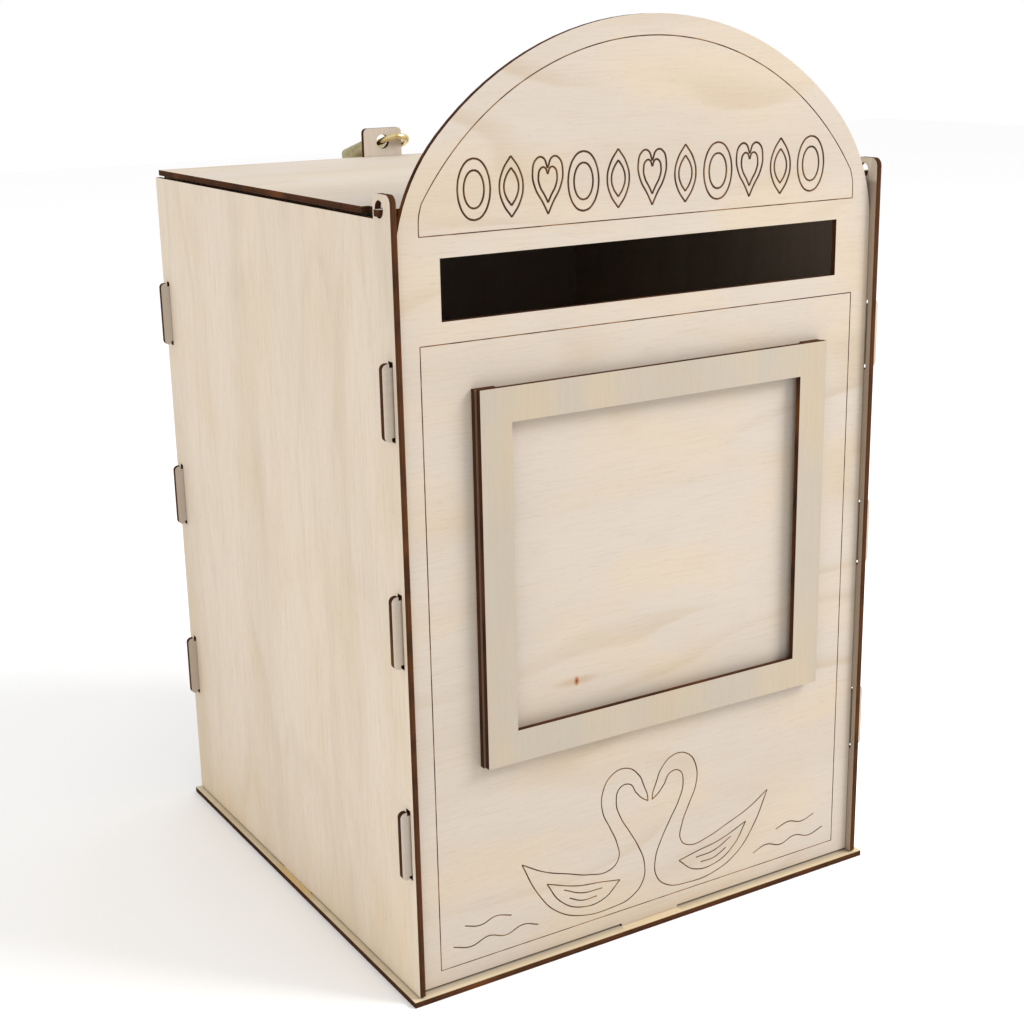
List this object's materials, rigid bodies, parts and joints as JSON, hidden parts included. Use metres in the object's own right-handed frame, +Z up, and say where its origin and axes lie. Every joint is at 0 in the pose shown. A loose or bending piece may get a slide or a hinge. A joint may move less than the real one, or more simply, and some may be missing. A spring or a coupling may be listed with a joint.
{
  "type": "wedding card box",
  "caption": "Post-box shaped plywood box with an arched front, card slot, photo frame, peg-hinged lid and a padlocked tab.",
  "frame": {"origin": "middle of the base panel's underside", "axes": "+Z up, the arched front faces -Y, +X to the right as seen from the front"},
  "size_m": [0.2588, 0.2803, 0.4131],
  "materials": {
    "face_ply": "raw birch-faced plywood, smoke-brown laser-cut edges",
    "frame_ply": "raw birch-faced plywood, smoke-brown laser-cut edges",
    "base_ply": "raw birch-faced plywood, smoke-brown laser-cut edges",
    "brass_case": "satin brushed brass",
    "shackle_plating": "bright plated steel",
    "lock_brass": "turned brass",
    "spring_steel": "plain spring steel"
  },
  "bodies": {
    "carcass": {"base_panel": "base_ply", "left_side_panel": "face_ply", "right_side_panel": "face_ply", "front_panel": "face_ply", "back_panel": "face_ply", "photo_frame_ring": "frame_ply", "photo_frame_spacer": "frame_ply"},
    "lid": {"lid_panel": "face_ply"},
    "shackle": {"shackle": "shackle_plating"},
    "lock_case": {"lock_case": "brass_case", "driver_pins": "lock_brass", "pin_springs": "spring_steel", "chamber_plugs": "lock_brass", "shackle_stop_pin": "spring_steel", "shackle_spring": "spring_steel"},
    "key_plug": {"key_plug": "lock_brass", "key_pins": "lock_brass"},
    "locking_bolt": {"locking_bolt": "lock_brass"}
  },
  "joints": [
    {"name": "lid_swing", "type": "hinge", "parent": "carcass", "child": "lid", "pos_m": [0, -0.1193, 0.3426], "axis": [1, 0, 0], "range_deg": [0, 92]},
    {"name": "padlock_swing", "type": "hinge", "parent": "carcass", "child": "shackle", "pos_m": [0, 0.12205, 0.3503], "axis": [0, 1, 0], "range_deg": [-18, 8]},
    {"name": "shackle_release", "type": "slide", "parent": "shackle", "child": "lock_case", "axis": [-0.4636, 0.803, -0.3746], "range_m": [0, 0.0062]},
    {"name": "plug_turn", "type": "hinge", "parent": "lock_case", "child": "key_plug", "pos_m": [0.00263, 0.13037, 0.34593], "axis": [0.4636, -0.803, 0.3746], "range_deg": [0, 90]},
    {"name": "bolt_throw", "type": "slide", "parent": "lock_case", "child": "locking_bolt", "axis": [-0.8841, -0.3912, 0.2556], "range_m": [0, 0.0013]}
  ],
  "couplings": [
    {"joint": "plug_turn", "follows": "bolt_throw", "rad_per_m": 1208.2}
  ]
}
